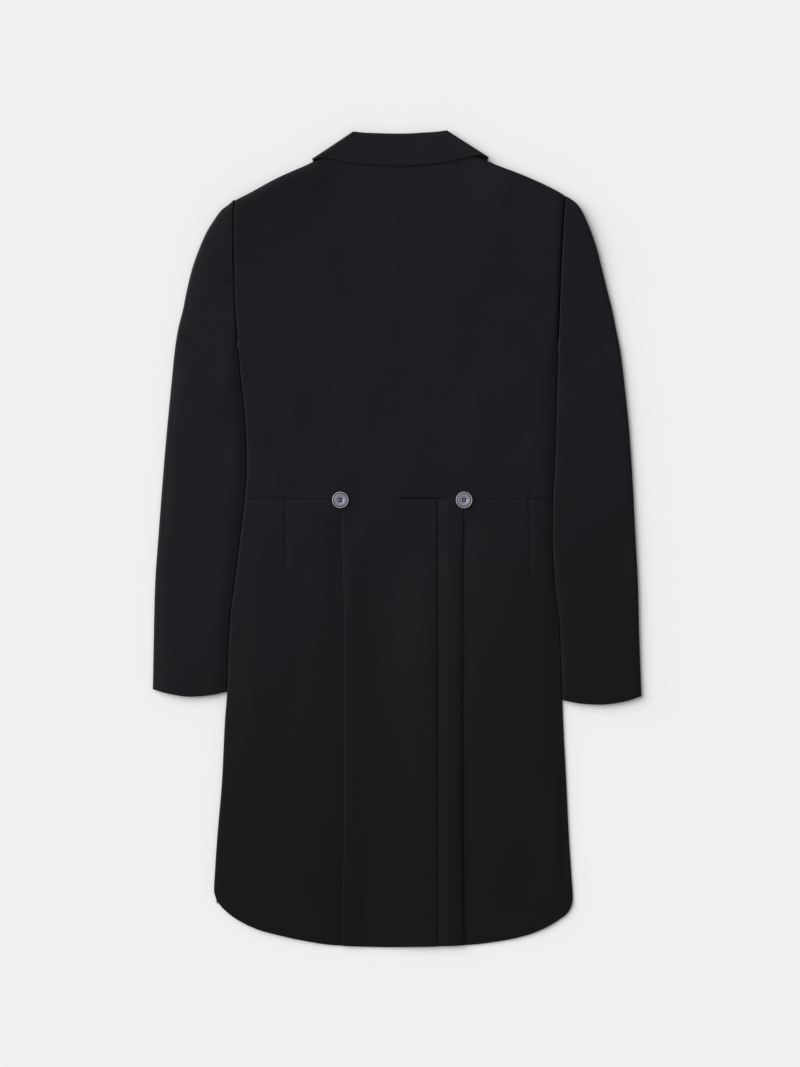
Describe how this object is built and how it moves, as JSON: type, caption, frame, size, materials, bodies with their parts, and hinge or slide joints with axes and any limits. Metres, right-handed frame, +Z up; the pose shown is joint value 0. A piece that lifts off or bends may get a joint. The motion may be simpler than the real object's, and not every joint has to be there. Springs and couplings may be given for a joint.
{
  "type": "morning coat",
  "caption": "Man's black morning coat with cutaway skirts and tails, lying flat with its back up, sleeves straight down and the front closed underneath.",
  "frame": {"origin": "on the surface the coat lies on, at the middle of its outline", "axes": "+Y from the hem to the collar, +Z up out of the back of the coat, +X to the wearer's right"},
  "size_m": [0.6444, 1.077, 0.0125],
  "materials": {
    "back_left": "black wool, closely woven and pressed",
    "back_right": "black wool, closely woven and pressed",
    "side_body_left": "black wool, closely woven and pressed",
    "side_body_right": "black wool, closely woven and pressed",
    "forepart_left": "black wool, closely woven and pressed",
    "forepart_right": "black wool, closely woven and pressed",
    "lapel_left": "black wool, closely woven and pressed",
    "lapel_right": "black wool, closely woven and pressed",
    "skirt_left": "black wool, closely woven and pressed",
    "skirt_right": "black wool, closely woven and pressed",
    "top_sleeve_left": "black wool, closely woven and pressed",
    "top_sleeve_right": "black wool, closely woven and pressed",
    "under_sleeve_left": "black wool, closely woven and pressed",
    "under_sleeve_right": "black wool, closely woven and pressed",
    "collar": "black wool, closely woven and pressed",
    "collar_stand": "black wool, closely woven and pressed",
    "waist_button_left": "polished grey horn",
    "waist_button_right": "polished grey horn",
    "front_button": "polished grey horn"
  },
  "bodies": {
    "root": {"back_left": "back_left", "back_right": "back_right", "side_body_left": "side_body_left", "side_body_right": "side_body_right", "forepart_left": "forepart_left", "forepart_right": "forepart_right", "lapel_left": "lapel_left", "lapel_right": "lapel_right", "skirt_left": "skirt_left", "skirt_right": "skirt_right", "top_sleeve_left": "top_sleeve_left", "top_sleeve_right": "top_sleeve_right", "under_sleeve_left": "under_sleeve_left", "under_sleeve_right": "under_sleeve_right", "collar": "collar", "collar_stand": "collar_stand", "waist_button_left": "waist_button_left", "waist_button_right": "waist_button_right", "front_button": "front_button"}
  },
  "joints": []
}
